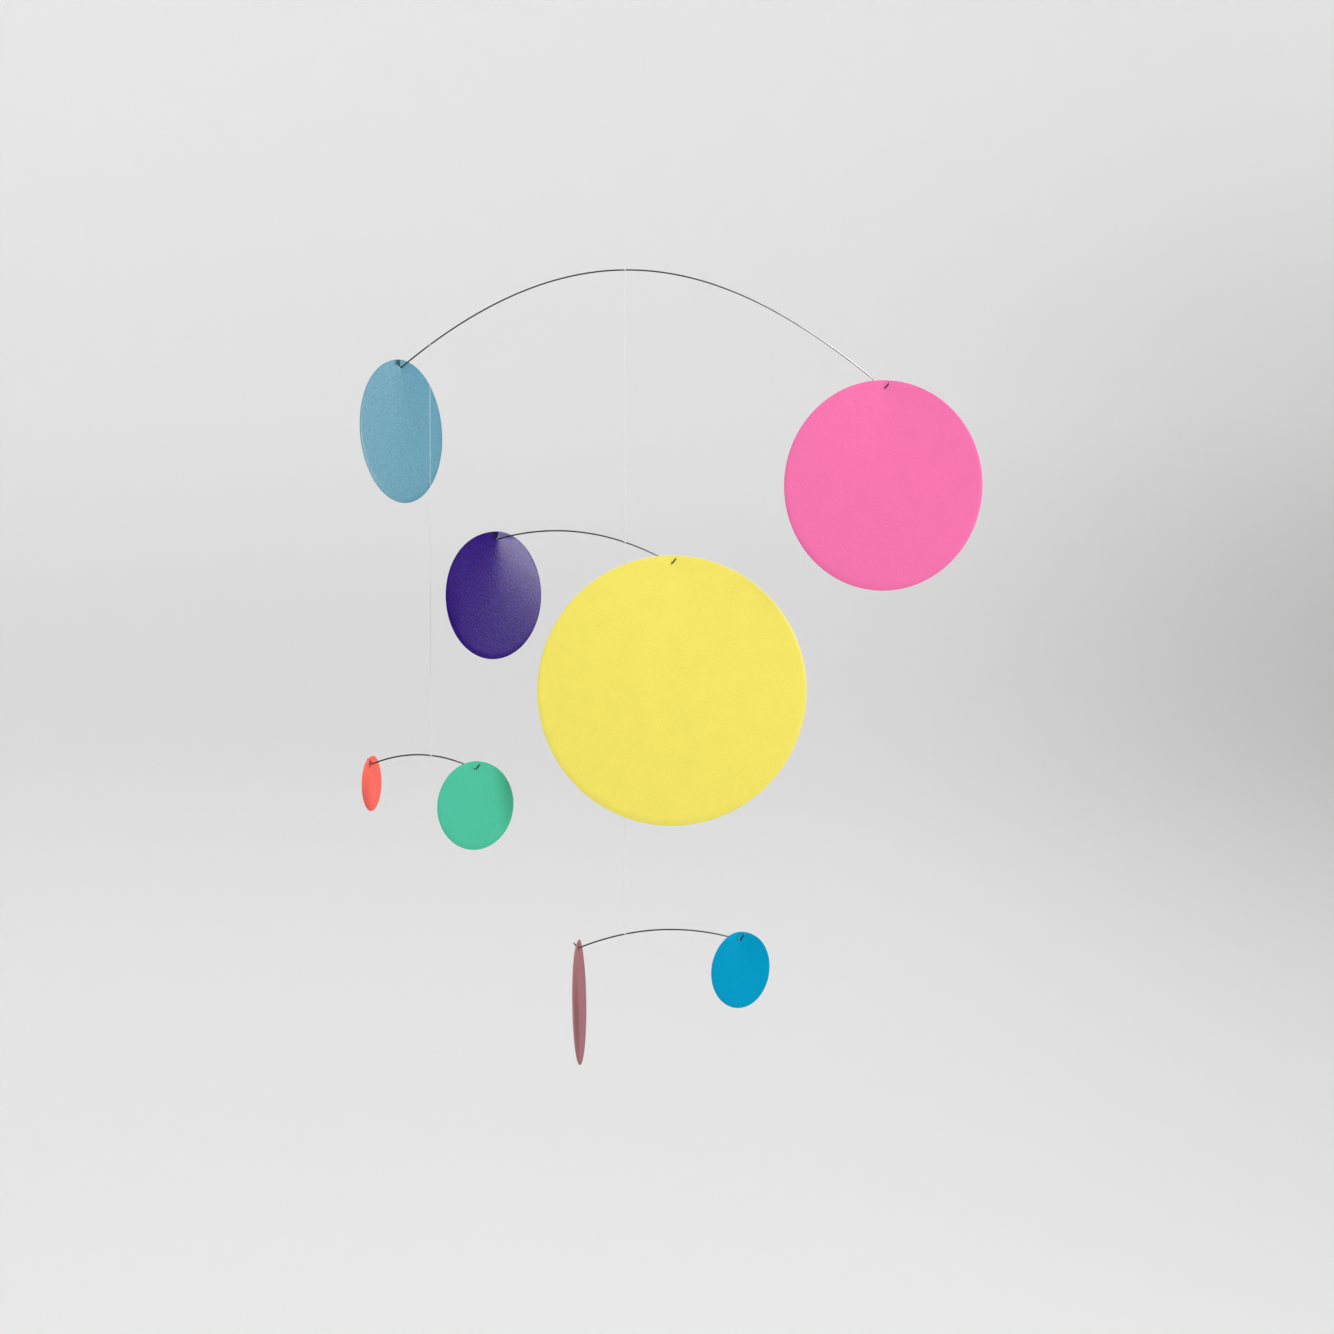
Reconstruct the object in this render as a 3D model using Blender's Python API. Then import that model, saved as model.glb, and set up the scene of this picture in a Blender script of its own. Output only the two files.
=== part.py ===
"""Hanging mobile: eight thin card discs on four arched spring wires, joined by clear threads.

Metres, +Z up. The origin is on the top wire where the mobile hangs. The arms lie along X at rest.
"""
import math

import bmesh
import bpy
from mathutils import Vector

# Stock
CARD_THICKNESS = 0.0006
WIRE_DIAMETER = 0.0014
THREAD_DIAMETER = 0.0003

# Fits: the gap left between pieces that touch, and the room the wire has in and beside a disc
TOUCH_GAP = 0.0003
HOLE_CLEARANCE = 0.0004
FACE_CLEARANCE = 0.0004

# A disc hangs from one hole near its top edge
HOLE_INSET = 0.0077

# The wire's end goes through the hole and is bent up, so the disc can't slide off
BEND_INSIDE = 0.0007
STUB_LENGTH = 0.0050
STUB_RISE = math.radians(50.0)

# A tie is the thread wound round the wire
TIE_WIDTH = 0.0024
TIE_WALL = 0.0004

# A disc's bend is a sharp crease at the hole that grows softer and flatter further down
CREASE_SOFTNESS = 0.001
SOFTNESS_GROWTH = 0.45
BEND_FADE = 2.0

# Fineness of the solids
ARCH_STEP = 0.014
BEND_STEPS = 4
THREAD_STEPS = 8
TUBE_RESOLUTION = 2
TIE_SIDES = 12
HOLE_SIDES = 12
RIM_STEP = 0.016
ROW_STEP = 0.022

LEFT = -1
RIGHT = 1

# An arm is one arched wire. "tie" is how far across from the tie above it hangs, "thread" the free
# length it hangs by, "crown" and "reach" how far its crown and its two holes are from its own tie.
# "radius" is the arch's radius at the crown, and "ease" the length over which it straightens.
ARMS = {
    "top": {
        "above": None, "tie": 0.0, "thread": 0.0, "crown": 0.0025, "radius": 0.254,
        "ease": {LEFT: 0.605, RIGHT: 0.385}, "reach": {LEFT: -0.224, RIGHT: 0.259},
    },
    "middle": {
        "above": "top", "tie": 0.0, "thread": 0.271, "crown": -0.0685, "radius": 0.204,
        "ease": {LEFT: 1.0, RIGHT: 1.0}, "reach": {LEFT: -0.128, RIGHT: 0.047},
    },
    "side": {
        "above": "top", "tie": -0.1945, "thread": 0.410, "crown": -0.013, "radius": 0.114,
        "ease": {LEFT: 1.0, RIGHT: 1.0}, "reach": {LEFT: -0.0585, RIGHT: 0.0445},
    },
    "low": {
        "above": "middle", "tie": 0.0, "thread": 0.393, "crown": 0.046, "radius": 0.230,
        "ease": {LEFT: 1.0, RIGHT: 1.0}, "reach": {LEFT: -0.0465, RIGHT: 0.1145},
    },
}

# A disc hangs at one end of an arm. In degrees, "turn" is how far it is turned from facing square to
# the arm, "bend" how far each half is folded at the hole, and "swing" how far forward its foot hangs.
DISCS = {
    "teal": {
        "arm": "top", "end": LEFT, "diameter": 0.143, "turn": 60.0, "bend": 2.0, "swing": 2.0,
        "colour": (118, 169, 188),
    },
    "pink": {
        "arm": "top", "end": RIGHT, "diameter": 0.210, "turn": 15.8, "bend": 2.3, "swing": -1.0,
        "colour": (250, 122, 179),
    },
    "purple": {
        "arm": "middle", "end": LEFT, "diameter": 0.128, "turn": 45.0, "bend": 7.0, "swing": -2.3,
        "colour": (72, 59, 129),
    },
    "yellow": {
        "arm": "middle", "end": RIGHT, "diameter": 0.270, "turn": 5.0, "bend": 1.5, "swing": 1.8,
        "colour": (246, 232, 109),
    },
    "coral": {
        "arm": "side", "end": LEFT, "diameter": 0.0555, "turn": 75.0, "bend": 3.5, "swing": -1.3,
        "colour": (254, 105, 99),
    },
    "green": {
        "arm": "side", "end": RIGHT, "diameter": 0.089, "turn": 34.7, "bend": 2.0, "swing": 0.3,
        "colour": (81, 195, 159),
    },
    "mauve": {
        "arm": "low", "end": LEFT, "diameter": 0.1255, "turn": 85.5, "bend": 1.5, "swing": 1.0,
        "colour": (164, 116, 117),
    },
    "sky": {
        "arm": "low", "end": RIGHT, "diameter": 0.0765, "turn": 38.8, "bend": 6.3, "swing": 1.7,
        "colour": (1, 149, 192),
    },
}

UP = Vector((0.0, 0.0, 1.0))
BEND_RADIUS = BEND_INSIDE + WIRE_DIAMETER / 2
HOLE_DIAMETER = WIRE_DIAMETER + 2 * HOLE_CLEARANCE
TIE_RADIUS = WIRE_DIAMETER / 2 + TOUCH_GAP + TIE_WALL


def clear_scene():
    for obj in list(bpy.data.objects):
        bpy.data.objects.remove(obj, do_unlink=True)


def linear(value):
    """One 0 to 255 display value as linear light."""
    value /= 255.0
    return value / 12.92 if value <= 0.04045 else ((value + 0.055) / 1.055) ** 2.4


def material(name, colour, roughness, metallic=0.0):
    made = bpy.data.materials.new(name)
    made.use_nodes = True
    shader = made.node_tree.nodes["Principled BSDF"]
    shader.inputs["Base Color"].default_value = (*(linear(value) for value in colour), 1.0)
    shader.inputs["Roughness"].default_value = roughness
    shader.inputs["Metallic"].default_value = metallic
    return made


def add(name, data, parent, surface=None):
    """Put a mesh or curve in the scene as a named object under its parent."""
    obj = bpy.data.objects.new(name, data)
    bpy.context.scene.collection.objects.link(obj)
    obj.parent = parent
    if surface:
        data.materials.append(surface)
    return obj


def arch_drop(arm, x):
    """How far the arm's wire is below its crown, x across from its own tie.

    A hyperbola: round at the crown, straighter towards the ends.
    """
    across = x - arm["crown"]
    ease = arm["ease"][LEFT if across < 0 else RIGHT]
    return ease / arm["radius"] * (math.hypot(ease, across) - ease)


def wire_height(arm, x):
    """Height of the arm's wire over its own tie."""
    return arch_drop(arm, 0.0) - arch_drop(arm, x)


def wire_slope(arm, x):
    """Angle of the arm's wire from level, up towards +X."""
    across = x - arm["crown"]
    ease = arm["ease"][LEFT if across < 0 else RIGHT]
    return -math.atan(ease / arm["radius"] * across / math.hypot(ease, across))


def facing(disc):
    """The way the disc's front face looks."""
    turn = math.radians(disc["turn"])
    return Vector((math.sin(turn), -math.cos(turn), 0.0))


def hook(disc):
    """Where the arch ends, the disc's hole, the corner past it, and the tip of the upturned end.

    The wire turns to go square through the card and stays straight just past both faces.
    """
    arm = ARMS[disc["arm"]]
    side = disc["end"]
    reach = arm["reach"][side]
    slope = wire_slope(arm, reach)
    arriving = Vector((side * math.cos(slope), 0.0, side * math.sin(slope)))
    through = side * facing(disc)
    rising = Vector((side * math.cos(STUB_RISE), 0.0, math.sin(STUB_RISE)))
    straight = CARD_THICKNESS / 2 + FACE_CLEARANCE
    before = BEND_RADIUS * math.tan(arriving.angle(through) / 2) + straight
    after = BEND_RADIUS * math.tan(through.angle(rising) / 2) + straight
    end_x = reach - through.x * before
    end = Vector((end_x, 0.0, wire_height(arm, end_x)))
    hole = end + through * before
    corner = hole + through * after
    tip = corner + rising * (STUB_LENGTH + BEND_RADIUS)
    return end, hole, corner, tip


def rounded_corner(before, corner, after):
    """Points of the arc that rounds a corner at the wire's bend radius."""
    back = (before - corner).normalized()
    onward = (after - corner).normalized()
    half = back.angle(onward) / 2
    centre = corner + (back + onward).normalized() * (BEND_RADIUS / math.sin(half))
    start = corner + back * (BEND_RADIUS / math.tan(half)) - centre
    finish = corner + onward * (BEND_RADIUS / math.tan(half)) - centre
    sweep = math.pi - 2 * half
    points = []
    for step in range(BEND_STEPS + 1):
        share = step / BEND_STEPS
        from_start = math.sin((1 - share) * sweep) / math.sin(sweep)
        from_finish = math.sin(share * sweep) / math.sin(sweep)
        points.append(centre + start * from_start + finish * from_finish)
    return points


def wire_path(name):
    """Centre line of an arm's wire, from its left tip to its right tip."""
    arm = ARMS[name]
    ends = {disc["end"]: hook(disc) for disc in DISCS.values() if disc["arm"] == name}
    first = ends[LEFT][0]
    last = ends[RIGHT][0]
    steps = max(6, math.ceil((last.x - first.x) / ARCH_STEP))
    across = [first.x + (last.x - first.x) * step / steps for step in range(1, steps)]
    arch = [Vector((x, 0.0, wire_height(arm, x))) for x in across]
    halves = {}
    for side, start in ((LEFT, arch[0]), (RIGHT, arch[-1])):
        end, _, corner, tip = ends[side]
        halves[side] = rounded_corner(start, end, corner) + rounded_corner(end, corner, tip) + [tip]
    return list(reversed(halves[LEFT])) + arch + halves[RIGHT]


def tube(name, points, diameter, parent, surface):
    """A round wire or thread along the points, closed at both ends."""
    curve = bpy.data.curves.new(name, "CURVE")
    curve.dimensions = "3D"
    curve.bevel_depth = diameter / 2
    curve.bevel_resolution = TUBE_RESOLUTION
    curve.use_fill_caps = True
    spline = curve.splines.new("POLY")
    spline.points.add(len(points) - 1)
    for spot, point in zip(spline.points, points):
        spot.co = (*point, 1.0)
    return add(name, curve, parent, surface)


def bend_depth(disc, across, below):
    """How far the card stands behind the hole's line, across from it and below the hole.

    Two straight halves meet in a rounded crease: the angle times the root of the distance squared
    plus the softness squared, less the softness. The angle fades and the softness grows downwards.
    """
    depth = max(below, 0.0)
    softness = CREASE_SOFTNESS + SOFTNESS_GROWTH * depth
    angle = math.radians(disc["bend"]) * math.exp(-BEND_FADE * depth / disc["diameter"])
    return math.tan(angle) * (math.hypot(across, softness) - softness)


def disc_sheet(name, disc):
    """The middle surface of a disc: upright columns, spaced evenly round the rim.

    The hole is at the origin, X runs across the disc and its front looks along -Y.
    """
    radius = disc["diameter"] / 2
    centre = HOLE_INSET - radius
    columns = 2 * max(6, math.ceil(math.pi * radius / RIM_STEP / 2))
    rows = max(4, math.ceil(disc["diameter"] / ROW_STEP))
    sheet = bmesh.new()
    grid = []
    for column in range(columns + 1):
        round_rim = math.pi * (column / columns - 0.5)
        across = radius * math.sin(round_rim)
        half_height = radius * math.cos(round_rim)
        at_edge = column in (0, columns)
        heights = [centre] if at_edge else [centre + half_height * (1 - 2 * row / rows) for row in range(rows + 1)]
        line = []
        for height in heights:
            back = -disc["end"] * bend_depth(disc, across, -height)
            line.append(sheet.verts.new((across, back, height)))
        grid.append(line)
    for near, far in zip(grid, grid[1:]):
        for row in range(rows):
            corners = [near[min(row, len(near) - 1)], near[min(row + 1, len(near) - 1)]]
            corners += [far[min(row + 1, len(far) - 1)], far[min(row, len(far) - 1)]]
            sheet.faces.new(list(dict.fromkeys(corners)))
    mesh = bpy.data.meshes.new(name)
    sheet.to_mesh(mesh)
    sheet.free()
    mesh.shade_smooth()
    return mesh


def hole_cutter(name, parent):
    """A round cutter along the wire's way through the card."""
    cutter = bmesh.new()
    bmesh.ops.create_cone(
        cutter, cap_ends=True, segments=HOLE_SIDES, depth=HOLE_INSET,
        radius1=HOLE_DIAMETER / 2, radius2=HOLE_DIAMETER / 2,
    )
    mesh = bpy.data.meshes.new(name)
    cutter.to_mesh(mesh)
    cutter.free()
    obj = add(name, mesh, parent)
    obj.rotation_euler.x = math.pi / 2
    obj.hide_render = True
    obj.display_type = "WIRE"
    return obj


def make_disc(name, disc, parent):
    """A thin card disc with its hole on the wire."""
    surface = material(f"{name}_card", disc["colour"], 0.8)
    obj = add(f"disc_{name}", disc_sheet(name, disc), parent, surface)
    obj.location = hook(disc)[1]
    obj.rotation_euler = (-math.radians(disc["swing"]), 0.0, math.radians(disc["turn"]))
    card = obj.modifiers.new("card", "SOLIDIFY")
    card.thickness = CARD_THICKNESS
    card.offset = 0.0
    card.use_even_offset = True
    cut = obj.modifiers.new("hole", "BOOLEAN")
    cut.operation = "DIFFERENCE"
    cut.solver = "EXACT"
    cut.object = hole_cutter(f"{name}_hole", obj)


def make_tie(name, arm, x, parent, surface):
    """A short wound collar round the arm's wire, x across from the arm's own tie."""
    inner = WIRE_DIAMETER / 2 + TOUCH_GAP
    half = TIE_WIDTH / 2
    shoulder = half - TIE_WALL / 2
    profile = [(-half, inner), (-half, inner + TIE_WALL / 2), (-shoulder, TIE_RADIUS)]
    profile += [(shoulder, TIE_RADIUS), (half, inner + TIE_WALL / 2), (half, inner)]
    collar = bmesh.new()
    rings = []
    for side in range(TIE_SIDES):
        angle = 2 * math.pi * side / TIE_SIDES
        rings.append([collar.verts.new((along, out * math.cos(angle), out * math.sin(angle))) for along, out in profile])
    for ring, following in zip(rings, rings[1:] + rings[:1]):
        for spot in range(len(profile)):
            after = (spot + 1) % len(profile)
            collar.faces.new((ring[spot], ring[after], following[after], following[spot]))
    bmesh.ops.recalc_face_normals(collar, faces=collar.faces[:])
    mesh = bpy.data.meshes.new(name)
    collar.to_mesh(mesh)
    collar.free()
    mesh.shade_smooth()
    obj = add(name, mesh, parent, surface)
    obj.location = (x, 0.0, wire_height(arm, x))
    obj.rotation_euler.y = -wire_slope(arm, x)


def tie_reach(arm, x):
    """How far a thread's end stands from the wire's centre line, straight up or down."""
    return TIE_RADIUS / math.cos(wire_slope(arm, x)) + TOUCH_GAP


def make_thread(name, upper, x, length, lower, parent, surface):
    """A plumb thread from the tie on the upper arm to the tie on the arm that it carries."""
    top = wire_height(upper, x) - tie_reach(upper, x)
    bottom = wire_height(upper, x) - length + tie_reach(lower, 0.0)
    heights = [top + (bottom - top) * step / THREAD_STEPS for step in range(THREAD_STEPS + 1)]
    tube(name, [Vector((x, 0.0, height)) for height in heights], THREAD_DIAMETER, parent, surface)


def make_mobile():
    steel = material("wire_steel", (120, 122, 122), 0.35, 1.0)
    nylon = material("thread_nylon", (225, 228, 228), 0.3)
    arms = {}
    for name, arm in ARMS.items():
        above = ARMS.get(arm["above"])
        arms[name] = add(f"{name}_arm", None, arms.get(arm["above"]))
        if above:
            arms[name].location = (arm["tie"], 0.0, wire_height(above, arm["tie"]) - arm["thread"])
        tube(f"wire_{name}", wire_path(name), WIRE_DIAMETER, arms[name], steel)
        make_tie(f"tie_{name}", arm, 0.0, arms[name], nylon)
        if above:
            over = arms[arm["above"]]
            make_thread(f"thread_{name}", above, arm["tie"], arm["thread"], arm, over, nylon)
            if arm["tie"]:
                make_tie(f"tie_{name}_upper", above, arm["tie"], over, nylon)
    for name, disc in DISCS.items():
        make_disc(name, disc, arms[disc["arm"]])


clear_scene()
make_mobile()
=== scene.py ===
"""Looks of the hanging mobile: card discs, drawn spring wires, clear threads and their wound ties.

Metres, +Z up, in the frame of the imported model. The arms lie along X at rest and the origin is on
the top wire, where the mobile hangs.
"""
import math

import bpy
import numpy as np
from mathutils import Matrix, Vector


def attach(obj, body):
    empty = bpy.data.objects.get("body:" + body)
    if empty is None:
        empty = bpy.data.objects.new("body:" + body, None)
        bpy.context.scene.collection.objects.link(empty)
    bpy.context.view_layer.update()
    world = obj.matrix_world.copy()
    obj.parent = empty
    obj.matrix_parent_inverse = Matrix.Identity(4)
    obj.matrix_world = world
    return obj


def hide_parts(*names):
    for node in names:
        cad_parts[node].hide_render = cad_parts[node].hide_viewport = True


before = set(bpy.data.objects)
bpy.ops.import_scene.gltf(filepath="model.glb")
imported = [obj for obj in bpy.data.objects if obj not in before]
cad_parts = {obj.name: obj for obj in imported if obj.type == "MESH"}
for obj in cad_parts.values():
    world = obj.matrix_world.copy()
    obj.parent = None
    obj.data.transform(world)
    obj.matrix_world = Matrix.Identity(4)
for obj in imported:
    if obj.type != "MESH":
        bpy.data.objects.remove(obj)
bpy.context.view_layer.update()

# Stock
CARD_THICKNESS = 0.0006
WIRE_DIAMETER = 0.0014
THREAD_DIAMETER = 0.0003

# Fits
TOUCH_GAP = 0.0003
HOLE_CLEARANCE = 0.0004
FACE_CLEARANCE = 0.0004
HOLE_INSET = 0.0077
BEND_INSIDE = 0.0007
STUB_LENGTH = 0.0050
STUB_RISE = math.radians(50.0)
TIE_WALL = 0.0004

# Bend of a disc
CREASE_SOFTNESS = 0.001
SOFTNESS_GROWTH = 0.45
BEND_FADE = 2.0
PUCKER_HEIGHT = 0.00025
PUCKER_RADIUS = 0.0025

# Grids of the visible pieces
WIRE_STEP = 0.003
STUB_STEPS = 5
WIRE_SIDES = 20
THREAD_SIDES = 8
THREAD_STEPS = 20
RIM_STEP = 0.0042
ROW_STEP = 0.006
ROW_CROWDING = 1.7
RIM_LEAST = 16
ROWS_LEAST = 10
EDGE_STEPS = 6
CUT_EASE = 0.6

# Windings and knots of the thread
WINDING_TURNS = 6.0
WINDING_PITCH = 1.04
WINDING_STEPS = 18
LEAD_STEPS = 10
KNOT_SWELL = 0.00018
KNOT_PLACE = 0.45
KNOT_WIDTH = 0.22

LEFT = -1
RIGHT = 1

# An arm is one arched wire. "tie" is how far across from the tie above it hangs, "thread" the free
# length it hangs by, "crown" and "reach" how far its crown and its two holes are from its own tie.
# "radius" is the arch's radius at the crown, and "ease" the length over which it straightens.
ARMS = {
    "top": {
        "above": None, "tie": 0.0, "thread": 0.0, "crown": 0.0025, "radius": 0.254,
        "ease": {LEFT: 0.605, RIGHT: 0.385}, "reach": {LEFT: -0.224, RIGHT: 0.259},
    },
    "middle": {
        "above": "top", "tie": 0.0, "thread": 0.271, "crown": -0.0685, "radius": 0.204,
        "ease": {LEFT: 1.0, RIGHT: 1.0}, "reach": {LEFT: -0.128, RIGHT: 0.047},
    },
    "side": {
        "above": "top", "tie": -0.1945, "thread": 0.410, "crown": -0.013, "radius": 0.114,
        "ease": {LEFT: 1.0, RIGHT: 1.0}, "reach": {LEFT: -0.0585, RIGHT: 0.0445},
    },
    "low": {
        "above": "middle", "tie": 0.0, "thread": 0.393, "crown": 0.046, "radius": 0.230,
        "ease": {LEFT: 1.0, RIGHT: 1.0}, "reach": {LEFT: -0.0465, RIGHT: 0.1145},
    },
}

# A disc hangs at one end of an arm. In degrees, "turn" is how far it is turned from facing square to
# the arm, "bend" how far each half is folded at the hole, and "swing" how far forward its foot hangs.
# "dye" is the card's colour from 0 to 255; where given, a disc's painted wire shadow has its way from the
# hole in degrees, the flecks' contrast (raised on teal and purple as partly painted glint of the sheen)
# and "gloss" the shine differ from the usual.
DISCS = {
    "teal": {
        "arm": "top", "end": LEFT, "diameter": 0.143, "turn": 60.0, "bend": 2.0, "swing": 2.0,
        # Raised fleck contrast here is partly painted glint of the sheen on the fibres.
        "dye": (73, 119, 135), "shadow_way": 128.0, "fleck_and_glint": 0.17,
    },
    "pink": {
        "arm": "top", "end": RIGHT, "diameter": 0.210, "turn": 15.8, "bend": 2.3, "swing": -1.0,
        "dye": (218, 103, 154),
    },
    "purple": {
        "arm": "middle", "end": LEFT, "diameter": 0.128, "turn": 45.0, "bend": 7.0, "swing": -2.3,
        # Raised fleck contrast here is partly painted glint of the sheen on the fibres.
        "dye": (37, 10, 95), "shadow_way": 112.0, "fleck_and_glint": 0.45,
    },
    "yellow": {
        "arm": "middle", "end": RIGHT, "diameter": 0.270, "turn": 5.0, "bend": 1.5, "swing": 1.8,
        "dye": (233, 219, 97),
    },
    "coral": {
        "arm": "side", "end": LEFT, "diameter": 0.0555, "turn": 75.0, "bend": 3.5, "swing": -1.3,
        "dye": (214, 92, 81), "shadow_way": 178.0,
    },
    "green": {
        "arm": "side", "end": RIGHT, "diameter": 0.089, "turn": 34.7, "bend": 2.0, "swing": 0.3,
        "dye": (65, 164, 133),
    },
    "mauve": {
        "arm": "low", "end": LEFT, "diameter": 0.1255, "turn": 85.5, "bend": 1.5, "swing": 1.0,
        "dye": (151, 102, 106), "shadow_way": 178.0,
    },
    "sky": {
        "arm": "low", "end": RIGHT, "diameter": 0.0765, "turn": 38.8, "bend": 6.3, "swing": 1.7,
        "dye": (0, 125, 161), "gloss": 0.03,
    },
}

# Card: noise scales are in cycles a metre, and the fleck and cloud are shares of the dye
CARD_ROUGHNESS = 0.31
CARD_GLOSS = 0.13
FLECK = 0.02
FLECK_SCALE = 450.0
CLOUD = 0.03
CLOUD_SCALE = 55.0
FELT_SCALE = 520.0
FELT_RELIEF = 0.00035
FELT_STRENGTH = 0.5

# Painted shadow of the wire on the card, fanning out from the hole
SHADOW_FAN = (0.72, 0.98)
SHADOW_LENGTH = 0.013
SHADOW_TONE = 0.30
SHADOW_ROUGHNESS = 0.9

# Steel and nylon
STEEL_DARK = (0.24, 0.24, 0.245, 1.0)
STEEL_LIGHT = (0.50, 0.50, 0.50, 1.0)
STEEL_ROUGHNESS = (0.26, 0.40)
STEEL_STREAKS = (60.0, 24.0, 1.0)
NYLON_TINT = (0.86, 0.88, 0.88, 1.0)
NYLON_ROUGHNESS = 0.2
NYLON_CLEARNESS = 0.2
NYLON_IOR = 1.53

# Room: painted shade on the pale paint, as tones by share of the height from ROOM_HEIGHTS, on the left
# and on the right
ROOM_HEIGHTS = (-2.2, 1.8)
ROOM_SHADE_LEFT = (
    (0.0, 0.75), (0.16, 0.745), (0.25, 0.745), (0.35, 0.675), (0.46, 0.70), (0.58, 0.785), (0.80, 0.83),
)
ROOM_SHADE_RIGHT = (
    (0.0, 0.75), (0.16, 0.695), (0.25, 0.62), (0.35, 0.455), (0.46, 0.485), (0.58, 0.64), (0.80, 0.84),
)
ROOM_ACROSS = (0.35, 2.5)
ROOM_DEPTH = (-5.0, 1.5)
ROOM_FRONT_SHADE = 0.6
FLOOR_HEIGHT = -2.2
FLOOR_MIDDLE = 0.02
FLOOR_RADIUS = 2.4
WALL_RADIUS = 6.0
WALL_TOP = 3.6
COVE_HEIGHT = 2.6
COVE_STEPS = 24
ROOM_SIDES = 96

# Lights, aimed at the middle of the mobile: degrees, metres and watts
DAYLIGHT = 1.09
MIDDLE = (0.04, 0.0, -0.4)
LIGHTS = {
    "key": {
        "azimuth": 50.0, "elevation": 44.0, "distance": 3.6, "width": 1.0, "height": 1.0, "power": 122.0,
    },
    "rake": {
        "azimuth": 100.0, "elevation": 9.0, "distance": 2.6, "width": 0.35, "height": 1.0, "power": 50.0,
    },
}

# Camera
EYE = (0.042, -3.15, -0.282)
AIM = (0.042, 0.0, -0.3958)
LENS = 85.0
SENSOR_WIDTH = 36.0
FAR_CLIP = 40.0

BODY = {"top": "top_arm", "middle": "middle_arm", "side": "side_arm", "low": "low_arm"}

UP = np.array([0.0, 0.0, 1.0])
BEND_RADIUS = BEND_INSIDE + WIRE_DIAMETER / 2
HOLE_RADIUS = WIRE_DIAMETER / 2 + HOLE_CLEARANCE
TIE_RADIUS = WIRE_DIAMETER / 2 + TOUCH_GAP + TIE_WALL


def unit(vector):
    """The vector at length one."""
    return vector / np.linalg.norm(vector)


def angle_between(a, b):
    """Angle between two directions, from their dot product."""
    return math.acos(max(-1.0, min(1.0, float(np.dot(unit(a), unit(b))))))


def arch_drop(arm, x):
    """Drop below the crown: a hyperbola, ease / radius * (hypot(ease, across) - ease)."""
    across = x - arm["crown"]
    ease = np.where(across < 0, arm["ease"][LEFT], arm["ease"][RIGHT])
    return ease / arm["radius"] * (np.hypot(ease, across) - ease)


def wire_height(arm, x):
    """Height of an arm's wire over its own tie."""
    return arch_drop(arm, 0.0) - arch_drop(arm, x)


def wire_slope(arm, x):
    """Angle of an arm's wire from level: the hyperbola's own derivative, as an angle."""
    across = x - arm["crown"]
    ease = arm["ease"][LEFT if across < 0 else RIGHT]
    return -math.atan(ease / arm["radius"] * across / math.hypot(ease, across))


def tie_point(name):
    """Where an arm's own tie is: under the arm above, by the length of its thread."""
    arm = ARMS[name]
    if arm["above"] is None:
        return np.zeros(3)
    above = ARMS[arm["above"]]
    drop = wire_height(above, arm["tie"]) - arm["thread"]
    return tie_point(arm["above"]) + np.array([arm["tie"], 0.0, float(drop)])


def facing(disc):
    """The way that a disc's front looks: -Y turned about the upright."""
    turn = math.radians(disc["turn"])
    return np.array([math.sin(turn), -math.cos(turn), 0.0])


def hook(disc):
    """End of the arch, middle of the hole, corner past it and tip, from the arm's own tie."""
    arm = ARMS[disc["arm"]]
    side = disc["end"]
    slope = wire_slope(arm, arm["reach"][side])
    arriving = np.array([side * math.cos(slope), 0.0, side * math.sin(slope)])
    through = side * facing(disc)
    rising = np.array([side * math.cos(STUB_RISE), 0.0, math.sin(STUB_RISE)])
    straight = CARD_THICKNESS / 2 + FACE_CLEARANCE
    before = BEND_RADIUS * math.tan(angle_between(arriving, through) / 2) + straight
    after = BEND_RADIUS * math.tan(angle_between(through, rising) / 2) + straight
    end_x = arm["reach"][side] - through[0] * before
    end = np.array([end_x, 0.0, float(wire_height(arm, end_x))])
    hole = end + through * before
    corner = hole + through * after
    return end, hole, corner, corner + rising * (STUB_LENGTH + BEND_RADIUS)


def rounded_corner(before, corner, after, steps=10):
    """Arc at the bend radius that touches both straight runs, by spherical interpolation."""
    back, onward = unit(before - corner), unit(after - corner)
    half = angle_between(back, onward) / 2
    centre = corner + unit(back + onward) * (BEND_RADIUS / math.sin(half))
    start = corner + back * (BEND_RADIUS / math.tan(half)) - centre
    finish = corner + onward * (BEND_RADIUS / math.tan(half)) - centre
    sweep = math.pi - 2 * half
    share = np.linspace(0.0, 1.0, steps + 1)[:, None]
    arc = start * np.sin((1 - share) * sweep) + finish * np.sin(share * sweep)
    return centre + arc / math.sin(sweep)


def wire_path(name):
    """Centre line of an arm's wire from its left tip to its right tip, in the shared frame."""
    arm = ARMS[name]
    ends = {disc["end"]: hook(disc) for disc in DISCS.values() if disc["arm"] == name}
    first, last = ends[LEFT][0], ends[RIGHT][0]
    count = int((last[0] - first[0]) / WIRE_STEP)
    x = np.linspace(first[0], last[0], count + 1)[1:-1]
    arch = np.stack([x, np.zeros_like(x), wire_height(arm, x)], axis=1)
    halves = {}
    for side, start in ((LEFT, arch[0]), (RIGHT, arch[-1])):
        end, _, corner, tip = ends[side]
        into = rounded_corner(start, end, corner)
        upward = rounded_corner(end, corner, tip)
        straight = np.linspace(corner, tip, STUB_STEPS + 1)[2:]
        halves[side] = np.concatenate([into, upward, straight])
    return tie_point(name) + np.concatenate([halves[LEFT][::-1], arch, halves[RIGHT]])


def new_mesh(name, points, faces, uv=None):
    """A smooth mesh object from whole arrays of points and faces, with an optional UV per corner."""
    mesh = bpy.data.meshes.new(name)
    mesh.from_pydata(points, [], faces)
    mesh.polygons.foreach_set("use_smooth", np.ones(len(mesh.polygons), dtype=bool))
    if uv is not None:
        layer = mesh.uv_layers.new(name="surface")
        corner = np.empty(len(mesh.loops), dtype=np.int32)
        mesh.loops.foreach_get("vertex_index", corner)
        layer.data.foreach_set("uv", uv[corner].astype(np.float32).ravel())
    mesh.update()
    obj = bpy.data.objects.new(name, mesh)
    bpy.context.scene.collection.objects.link(obj)
    return obj


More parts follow.
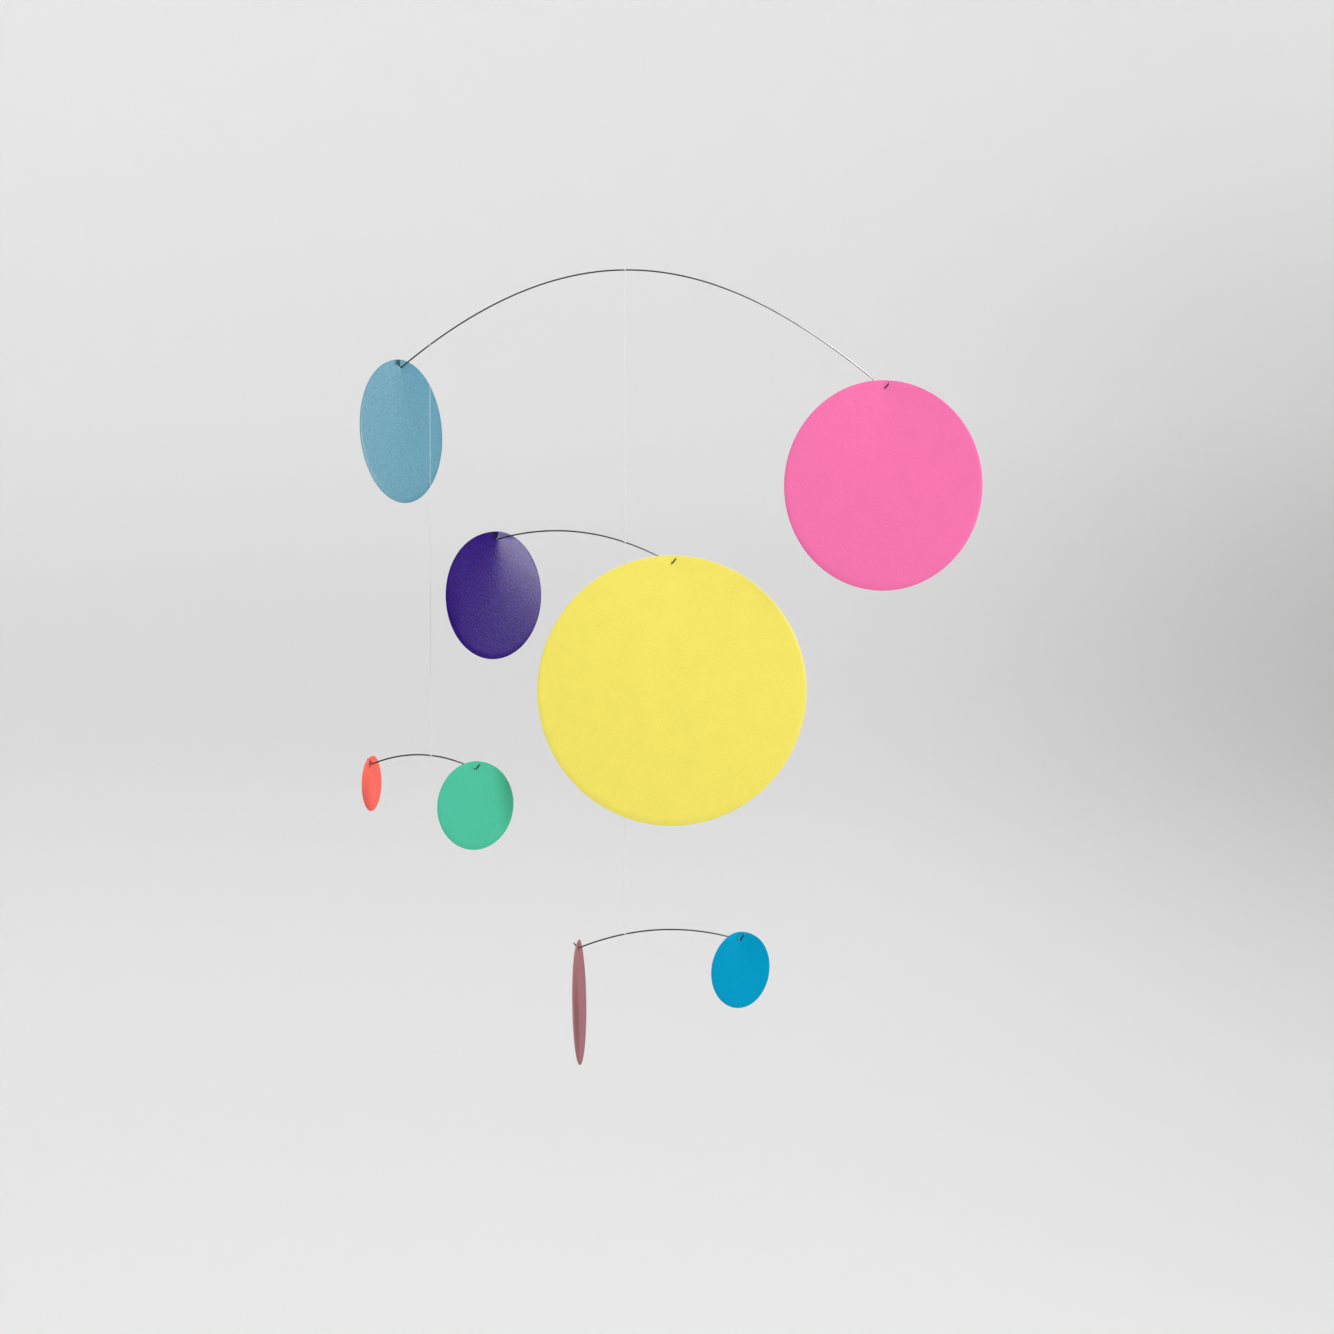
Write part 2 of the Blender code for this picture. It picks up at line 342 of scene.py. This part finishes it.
def ring_faces(rings, sides):
    """Quads between neighbouring rings of a grid whose rings are closed."""
    ring = np.arange(rings - 1)[:, None] * sides
    spot = np.arange(sides)[None, :]
    after = (spot + 1) % sides
    quads = np.stack([ring + spot, ring + after, ring + sides + after, ring + sides + spot], axis=-1)
    return quads.reshape(-1, 4)


def swept_tube(name, path, radii, sides, steady):
    """A round tube of rings square to the path, turned so that one spoke is square to a steady way.

    Ring point = path + radius * (cos(turn) * across + sin(turn) * other), where across is the path's
    direction crossed with the steady way, and other is the path's direction crossed with across.
    """
    tangent = np.gradient(path, axis=0)
    tangent /= np.linalg.norm(tangent, axis=1)[:, None]
    across = np.cross(tangent, steady)
    across /= np.linalg.norm(across, axis=1)[:, None]
    other = np.cross(tangent, across)
    turn = np.linspace(0.0, 2 * math.pi, sides, endpoint=False)
    cosine, sine = np.cos(turn)[None, :, None], np.sin(turn)[None, :, None]
    spokes = across[:, None] * cosine + other[:, None] * sine
    points = (path[:, None] + spokes * np.asarray(radii)[:, None, None]).reshape(-1, 3)
    faces = ring_faces(len(path), sides).tolist()
    last = len(points) - sides
    faces.append(list(range(sides))[::-1])
    faces.append(list(range(last, last + sides)))
    along = np.concatenate([[0.0], np.cumsum(np.linalg.norm(np.diff(path, axis=0), axis=1))])
    uv = np.stack([np.repeat(along, sides), np.tile(turn / (2 * math.pi), len(path))], axis=1)
    return new_mesh(name, points.tolist(), faces, uv)


def eased_ends(path, radius, steps=5):
    """The path and radii of a round bar whose two cut ends have a quarter-round edge.

    Depth = edge * (1 - cos(angle)) and radius = bar - edge * (1 - sin(angle)), from 0 to 90 degrees.
    """
    edge = radius * CUT_EASE
    angle = np.linspace(0.0, math.pi / 2, steps)
    depth = edge * (1 - np.cos(angle))
    size = radius - edge * (1 - np.sin(angle))
    first = path[0] + depth[:, None] * unit(path[1] - path[0])
    last = path[-1] + depth[:, None] * unit(path[-2] - path[-1])
    line = np.concatenate([first, path[1:-1], last[::-1]])
    return line, np.concatenate([size, np.full(len(path) - 2, radius), size[::-1]])


def bend_depth(disc, across, below):
    """How far the card stands behind the hole's line.

    tan(angle) * (hypot(across, softness) - softness): two halves that meet in a rounded crease, whose
    angle fades and whose softness grows below the hole.
    """
    depth = np.maximum(below, 0.0)
    softness = CREASE_SOFTNESS + SOFTNESS_GROWTH * depth
    angle = np.radians(disc["bend"]) * np.exp(-BEND_FADE * depth / disc["diameter"])
    return np.tan(angle) * (np.hypot(across, softness) - softness)


def swung(points, angle):
    """Points turned about the disc's own X, so that a positive angle brings its foot forward."""
    x, y, z = np.moveaxis(points, -1, 0)
    forward = y * math.cos(angle) + z * math.sin(angle)
    return np.stack([x, forward, z * math.cos(angle) - y * math.sin(angle)], axis=-1)


def yawed(points, angle):
    """Points turned about the upright through the hole."""
    x, y, z = np.moveaxis(points, -1, 0)
    across = x * math.cos(angle) - y * math.sin(angle)
    return np.stack([across, x * math.sin(angle) + y * math.cos(angle), z], axis=-1)


def disc_piece(name, disc):
    """A bent card disc as one closed ring-shaped grid.

    Around: the angle round the rim. Across: from the hole's edge over the front to the rim, round
    the rim, and back over the back face to the hole. The two faces are the bent middle surface
    moved half a thickness along its normal, and the rim and the hole's edge are half round.
    """
    radius = disc["diameter"] / 2
    around = 4 * int(round(disc["diameter"] / RIM_STEP) + RIM_LEAST)
    across = ROWS_LEAST + int(round(disc["diameter"] / ROW_STEP))
    turn = np.linspace(0.0, 2 * math.pi, around, endpoint=False) + math.pi / 2
    centre = np.array([0.0, HOLE_INSET - radius])
    rim = centre + radius * np.stack([np.cos(turn), np.sin(turn)], axis=1)
    aim = rim / np.linalg.norm(rim, axis=1)[:, None]
    hole = aim * HOLE_RADIUS
    share = np.linspace(0.0, 1.0, across) ** ROW_CROWDING
    round_off = np.linspace(-math.pi / 2, math.pi / 2, EDGE_STEPS + 1)[1:-1]
    edge = CARD_THICKNESS / 2
    rows = [(part, 0.0, 1.0) for part in share]
    rows += [(1.0, edge * math.cos(a), -math.sin(a)) for a in round_off]
    rows += [(part, 0.0, -1.0) for part in share[::-1]]
    rows += [(0.0, -edge * math.cos(a), math.sin(a)) for a in round_off]
    part, outward, side = np.array(rows).T[:, :, None]
    start = hole + aim * edge
    run = rim - aim * edge - start
    u = start[:, 0] + run[:, 0] * part + aim[:, 0] * outward
    w = start[:, 1] + run[:, 1] * part + aim[:, 1] * outward
    small = 1e-5

    def back_of(a, b):
        pucker = PUCKER_HEIGHT * np.exp(-(a * a + b * b) / PUCKER_RADIUS ** 2)
        return -disc["end"] * bend_depth(disc, a, -b) + disc["end"] * pucker

    back = back_of(u, w)
    slope_u = (back_of(u + small, w) - back_of(u - small, w)) / (2 * small)
    slope_w = (back_of(u, w + small) - back_of(u, w - small)) / (2 * small)
    size = np.sqrt(1.0 + slope_u ** 2 + slope_w ** 2)
    lift = side * edge
    local = np.stack([u + lift * slope_u / size, back - lift / size, w + lift * slope_w / size], axis=-1)
    turned = yawed(swung(local, math.radians(disc["swing"])), math.radians(disc["turn"]))
    place = tie_point(disc["arm"]) + hook(disc)[1]
    points = (turned + place).reshape(-1, 3)
    rings = len(rows)
    faces = ring_faces(rings, around)
    spot = np.arange(around)
    after = (spot + 1) % around
    last = (rings - 1) * around
    closing = np.stack([last + spot, last + after, after, spot], axis=-1)
    faces = np.concatenate([faces, closing])
    uv = np.stack([u, w], axis=-1).reshape(-1, 2)
    obj = new_mesh(f"{name}_disc", points.tolist(), faces[:, ::-1].tolist(), uv)
    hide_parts(f"disc_{name}")
    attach(obj, BODY[disc["arm"]])
    return obj


def linear(value):
    """A screen value from 0 to 255 as linear light."""
    value /= 255.0
    return value / 12.92 if value <= 0.04045 else ((value + 0.055) / 1.055) ** 2.4


def node_material(name, roughness, metallic=0.0):
    """A named Principled material, its node tree and its shader."""
    made = bpy.data.materials.new(name)
    made.use_nodes = True
    tree = made.node_tree
    shader = tree.nodes["Principled BSDF"]
    shader.inputs["Roughness"].default_value = roughness
    shader.inputs["Metallic"].default_value = metallic
    return made, tree, shader


def node(tree, kind, settings=(), **inputs):
    """A node with its settings and input values; an input given a socket is linked to it."""
    made = tree.nodes.new(kind)
    for key, value in dict(settings).items():
        setattr(made, key, value)
    for key, value in inputs.items():
        socket = made.inputs[key.replace("_", " ")]
        if isinstance(value, bpy.types.NodeSocket):
            tree.links.new(value, socket)
        else:
            socket.default_value = value
    return made


def value_range(tree, value, across, result, ease="LINEAR"):
    """A value carried from one range to another, straight or eased."""
    made = node(tree, "ShaderNodeMapRange", {"interpolation_type": ease}, Value=value)
    made.inputs["From Min"].default_value, made.inputs["From Max"].default_value = across
    made.inputs["To Min"].default_value, made.inputs["To Max"].default_value = result
    return made.outputs["Result"]


def wire_shadow_share(tree, shadow_angle):
    """Share of a painted shadow of the wire, which fans out from the hole to the rim.

    The share is one where the way from the hole is within a narrow angle of the shadow's own way and
    closer than its length, and eases to nothing past both.
    """
    place = node(tree, "ShaderNodeUVMap", {"uv_map": "surface"}).outputs["UV"]
    reach = node(tree, "ShaderNodeVectorMath", {"operation": "LENGTH"})
    tree.links.new(place, reach.inputs[0])
    way = node(tree, "ShaderNodeVectorMath", {"operation": "NORMALIZE"})
    tree.links.new(place, way.inputs[0])
    along = node(tree, "ShaderNodeVectorMath", {"operation": "DOT_PRODUCT"})
    tree.links.new(way.outputs["Vector"], along.inputs[0])
    along.inputs[1].default_value = (math.cos(shadow_angle), math.sin(shadow_angle), 0.0)
    fan = value_range(tree, along.outputs["Value"], SHADOW_FAN, (0.0, 1.0), "SMOOTHSTEP")
    faded = (SHADOW_LENGTH * 0.5, SHADOW_LENGTH)
    near = value_range(tree, reach.outputs["Value"], faded, (1.0, 0.0), "SMOOTHSTEP")
    both = node(tree, "ShaderNodeMath", {"operation": "MULTIPLY"})
    tree.links.new(fan, both.inputs[0])
    tree.links.new(near, both.inputs[1])
    return both.outputs["Value"]


def noise(tree, place, scale, detail, roughness=0.5):
    """A noise value that follows a place."""
    made = node(tree, "ShaderNodeTexNoise", Vector=place, Scale=scale, Detail=detail, Roughness=roughness)
    return made.outputs["Fac"]


def card_material(name, dye, shadow_way, contrast, gloss):
    """Dyed matte card: fibre flecks in the colour (partly painted sheen glint where raised), faint
    clouds, felted grain in the relief, and any painted wire shadow.
    """
    made, tree, shader = node_material(f"{name}_card", CARD_ROUGHNESS)
    shader.inputs["Specular IOR Level"].default_value = gloss
    place = node(tree, "ShaderNodeTexCoord").outputs["Object"]
    # Fibre flecks: real, and on discs with raised contrast partly painted glint of the sheen.
    fleck_and_glint = noise(tree, place, FLECK_SCALE, 3.0, 0.65)
    cloud = noise(tree, place, CLOUD_SCALE, 2.0)
    colour = np.array([linear(value) for value in dye])
    dark = (*(colour * (1.0 - contrast)), 1.0)
    light = (*np.minimum(colour * (1.0 + contrast), 1.0), 1.0)
    spots = value_range(tree, fleck_and_glint, (0.32, 0.68), (0.0, 1.0))
    fibre = node(tree, "ShaderNodeMixRGB", Fac=spots, Color1=dark, Color2=light).outputs["Color"]
    tone = value_range(tree, cloud, (0.0, 1.0), (1.0 - CLOUD, 1.0 + CLOUD))
    shade = node(tree, "ShaderNodeVectorMath", {"operation": "SCALE"}, Scale=tone)
    tree.links.new(fibre, shade.inputs[0])
    tint = shade.outputs["Vector"]
    # Painted shadow of the wire: the dye darkened and the card roughened in a fan from the hole.
    if shadow_way is not None:
        share = wire_shadow_share(tree, math.radians(shadow_way))
        shadow_colour = (*(colour * SHADOW_TONE), 1.0)
        tint = node(tree, "ShaderNodeMixRGB", Fac=share, Color1=tint, Color2=shadow_colour).outputs["Color"]
        rough = value_range(tree, share, (0.0, 1.0), (CARD_ROUGHNESS, SHADOW_ROUGHNESS))
        tree.links.new(rough, shader.inputs["Roughness"])
    tree.links.new(tint, shader.inputs["Base Color"])
    felt = noise(tree, place, FELT_SCALE, 3.0, 0.6)
    bump = node(tree, "ShaderNodeBump", Height=felt, Strength=FELT_STRENGTH, Distance=FELT_RELIEF)
    tree.links.new(bump.outputs["Normal"], shader.inputs["Normal"])
    return made


def steel_material():
    """Drawn spring steel: dull grey metal with fine streaks along the wire."""
    made, tree, shader = node_material("spring_steel", STEEL_ROUGHNESS[0], 1.0)
    along = node(tree, "ShaderNodeUVMap", {"uv_map": "surface"}).outputs["UV"]
    stretch = node(tree, "ShaderNodeMapping", Vector=along, Scale=STEEL_STREAKS).outputs["Vector"]
    streak = noise(tree, stretch, 1.0, 4.0)
    grey = node(tree, "ShaderNodeMixRGB", Fac=streak, Color1=STEEL_DARK, Color2=STEEL_LIGHT)
    tree.links.new(grey.outputs["Color"], shader.inputs["Base Color"])
    tree.links.new(value_range(tree, streak, (0.0, 1.0), STEEL_ROUGHNESS), shader.inputs["Roughness"])
    return made


def nylon_material():
    """Clear monofilament: milky and partly see-through, with a soft gleam."""
    made, _, shader = node_material("clear_nylon", NYLON_ROUGHNESS)
    shader.inputs["Base Color"].default_value = NYLON_TINT
    shader.inputs["Transmission Weight"].default_value = NYLON_CLEARNESS
    shader.inputs["IOR"].default_value = NYLON_IOR
    return made


def wire_piece(name, steel):
    """An arm's wire as a round tube with eased ends."""
    line, radii = eased_ends(wire_path(name), WIRE_DIAMETER / 2)
    obj = swept_tube(f"{name}_wire", line, radii, WIRE_SIDES, UP)
    obj.data.materials.append(steel)
    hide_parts(f"wire_{name}")
    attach(obj, BODY[name])


def tie_piece(name, arm, x, below, above, nylon):
    """Thread wound close round the wire, with a knotted lead to each thread that it holds.

    The winding is a helix at the wire's radius plus the thread's. A lead runs straight from the
    winding to the thread's end, and swells by a bell curve into a small knot near its middle.
    """
    turns = WINDING_TURNS + (0.5 if below and above else 0.0)
    wound = np.linspace(0.0, 2 * math.pi * turns, int(WINDING_STEPS * turns) + 1)
    wound += 0.0 if below else math.pi
    reach = WIRE_DIAMETER / 2 + THREAD_DIAMETER / 2
    along = (wound / (2 * math.pi) - turns / 2) * THREAD_DIAMETER * WINDING_PITCH
    slope = wire_slope(ARMS[arm], x)
    forward = np.array([math.cos(slope), 0.0, math.sin(slope)])
    upward = np.array([-math.sin(slope), 0.0, math.cos(slope)])
    sideways = np.array([0.0, 1.0, 0.0])
    place = tie_point(arm) + np.array([x, 0.0, float(wire_height(ARMS[arm], x))])
    around = np.sin(wound)[:, None] * sideways - np.cos(wound)[:, None] * upward
    path = place + along[:, None] * forward + reach * around
    radii = np.full(len(path), THREAD_DIAMETER / 2)
    share = np.linspace(0.0, 1.0, LEAD_STEPS)[:-1, None]
    bell = np.exp(-((share[:, 0] - KNOT_PLACE) / KNOT_WIDTH) ** 2)
    knot = THREAD_DIAMETER / 2 + KNOT_SWELL * bell
    ends = TIE_RADIUS / math.cos(slope) + TOUCH_GAP / 2
    if below:
        thread_end = place - UP * ends
        path = np.concatenate([thread_end + (path[0] - thread_end) * share, path])
        radii = np.concatenate([knot, radii])
    if above:
        path, radii = path[::-1], radii[::-1]
        thread_end = place + UP * ends
        path = np.concatenate([thread_end + (path[0] - thread_end) * share, path])
        radii = np.concatenate([knot, radii])
    obj = swept_tube(f"{name}_winding", path, radii, THREAD_SIDES, forward)
    obj.data.materials.append(nylon)
    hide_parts(name)
    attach(obj, BODY[arm])


def thread_piece(name, nylon):
    """A plumb thread from the tie above to the tie on the arm that it carries."""
    arm = ARMS[name]
    above = ARMS[arm["above"]]
    top = tie_point(arm["above"]) + np.array([arm["tie"], 0.0, float(wire_height(above, arm["tie"]))])
    upper = TIE_RADIUS / math.cos(wire_slope(above, arm["tie"])) + TOUCH_GAP
    lower = TIE_RADIUS / math.cos(wire_slope(arm, 0.0)) + TOUCH_GAP
    start = top - UP * upper
    length = arm["thread"] - upper - lower
    curve = bpy.data.curves.new(f"{name}_thread", "CURVE")
    curve.dimensions = "3D"
    curve.bevel_depth = THREAD_DIAMETER / 2
    curve.bevel_resolution = 2
    curve.use_fill_caps = True
    spline = curve.splines.new("POLY")
    spline.points.add(THREAD_STEPS)
    route = start - UP * np.linspace(0.0, length, THREAD_STEPS + 1)[:, None]
    spline.points.foreach_set("co", np.insert(route, 3, 1.0, axis=1).ravel())
    obj = bpy.data.objects.new(f"{name}_thread", curve)
    bpy.context.scene.collection.objects.link(obj)
    curve.materials.append(nylon)
    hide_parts(f"thread_{name}")
    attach(obj, BODY[arm["above"]])


def tone_ramp(tree, factor, tones):
    """Grey that changes smoothly with a factor, from pairs of place and value."""
    ramp = node(tree, "ShaderNodeValToRGB", Fac=factor)
    ramp.color_ramp.interpolation = "B_SPLINE"
    steps = ramp.color_ramp.elements
    steps[0].position, steps[0].color = tones[0][0], (*[tones[0][1]] * 3, 1.0)
    steps[1].position, steps[1].color = tones[-1][0], (*[tones[-1][1]] * 3, 1.0)
    for position, value in tones[1:-1]:
        steps.new(position).color = (value, value, value, 1.0)
    return ramp.outputs["Color"]


def studio():
    """A pale round room, open above: flat floor, wide cove and wall, as one turned profile.

    Its pale paint carries painted shade: darkest low on the wall, more so on the right, and darker all
    over at the near end.
    Reflections don't show it, so that wires and card reflect the lights and each other alone.
    """
    bend = np.linspace(-math.pi / 2, 0.0, COVE_STEPS)
    cove_out = FLOOR_RADIUS + (WALL_RADIUS - FLOOR_RADIUS) * np.cos(bend)
    cove_up = FLOOR_HEIGHT + COVE_HEIGHT * (1 + np.sin(bend))
    out = np.concatenate([[FLOOR_MIDDLE, FLOOR_RADIUS / 2], cove_out, [WALL_RADIUS]])[:, None]
    up = np.concatenate([[FLOOR_HEIGHT, FLOOR_HEIGHT], cove_up, [WALL_TOP]])[:, None]
    turn = np.linspace(0.0, 2 * math.pi, ROOM_SIDES, endpoint=False)
    heights = np.repeat(up, ROOM_SIDES, axis=1)
    points = np.stack([out * np.cos(turn), out * np.sin(turn), heights], axis=-1).reshape(-1, 3)
    faces = ring_faces(len(out), ROOM_SIDES)[:, ::-1].tolist()
    faces.append(list(range(ROOM_SIDES)))
    room = new_mesh("studio_room", points.tolist(), faces)
    paint, tree, shader = node_material("pale_paint_and_shade", 0.9)
    shader.inputs["Specular IOR Level"].default_value = 0.0
    place = node(tree, "ShaderNodeTexCoord").outputs["Object"]
    parts = node(tree, "ShaderNodeSeparateXYZ", Vector=place)
    # Painted shade: the grey darkens low on the wall, towards the right and at the near end.
    height = value_range(tree, parts.outputs["Z"], ROOM_HEIGHTS, (0.0, 1.0))
    left = tone_ramp(tree, height, ROOM_SHADE_LEFT)
    right = tone_ramp(tree, height, ROOM_SHADE_RIGHT)
    across = value_range(tree, parts.outputs["X"], ROOM_ACROSS, (0.0, 1.0), "SMOOTHSTEP")
    mixed = node(tree, "ShaderNodeMixRGB", Fac=across, Color1=left, Color2=right)
    behind = value_range(tree, parts.outputs["Y"], ROOM_DEPTH, (ROOM_FRONT_SHADE, 1.0), "SMOOTHSTEP")
    shade = node(tree, "ShaderNodeVectorMath", {"operation": "SCALE"}, Scale=behind)
    tree.links.new(mixed.outputs["Color"], shade.inputs[0])
    tree.links.new(shade.outputs["Vector"], shader.inputs["Base Color"])
    room.data.materials.append(paint)
    room.visible_glossy = False


def soft_light(name, azimuth, elevation, distance, width, height, power):
    """A soft light with a round or oval face, aimed at the middle of the mobile.

    Azimuth runs from the camera's side (0) round to the right (90), in degrees.
    """
    turn, rise = math.radians(azimuth), math.radians(elevation)
    level = math.cos(rise)
    away = Vector((math.sin(turn) * level, -math.cos(turn) * level, math.sin(rise)))
    data = bpy.data.lights.new(name, "AREA")
    data.shape = "ELLIPSE"
    data.size = width
    data.size_y = height
    data.energy = power
    obj = bpy.data.objects.new(name, data)
    bpy.context.scene.collection.objects.link(obj)
    obj.location = Vector(MIDDLE) + away * distance
    obj.rotation_euler = (-away).to_track_quat("-Z", "Y").to_euler()
    obj.visible_camera = False


def lights():
    """Even white daylight and the two soft lights."""
    bpy.context.scene.view_settings.view_transform = "Standard"
    world = bpy.data.worlds.new("daylight")
    bpy.context.scene.world = world
    world.use_nodes = True
    background = world.node_tree.nodes["Background"]
    background.inputs["Color"].default_value = (1.0, 1.0, 1.0, 1.0)
    background.inputs["Strength"].default_value = DAYLIGHT
    world.cycles_visibility.glossy = False
    for name, light in LIGHTS.items():
        soft_light(name, **light)


def camera():
    """Eye a little above the middle of the view, 3.15 m away, so that a pixel is a millimetre."""
    data = bpy.data.cameras.new("camera")
    data.lens = LENS
    data.sensor_width = SENSOR_WIDTH
    data.clip_end = FAR_CLIP
    obj = bpy.data.objects.new("camera", data)
    bpy.context.scene.collection.objects.link(obj)
    obj.location = EYE
    obj.rotation_euler = (Vector(AIM) - Vector(EYE)).to_track_quat("-Z", "Y").to_euler()
    bpy.context.scene.camera = obj


camera()
studio()
lights()
steel = steel_material()
nylon = nylon_material()
for name in ("middle", "side", "low"):
    thread_piece(name, nylon)
for name in ARMS:
    wire_piece(name, steel)
for name, disc in DISCS.items():
    # A raised fleck contrast is partly painted glint of the card's sheen.
    contrast = disc.get("fleck_and_glint", FLECK)
    gloss = disc.get("gloss", CARD_GLOSS)
    card = card_material(name, disc["dye"], disc.get("shadow_way"), contrast, gloss)
    disc_piece(name, disc).data.materials.append(card)
tie_piece("tie_top", "top", 0.0, True, False, nylon)
tie_piece("tie_side_upper", "top", ARMS["side"]["tie"], True, False, nylon)
tie_piece("tie_middle", "middle", 0.0, True, True, nylon)
tie_piece("tie_side", "side", 0.0, False, True, nylon)
tie_piece("tie_low", "low", 0.0, False, True, nylon)
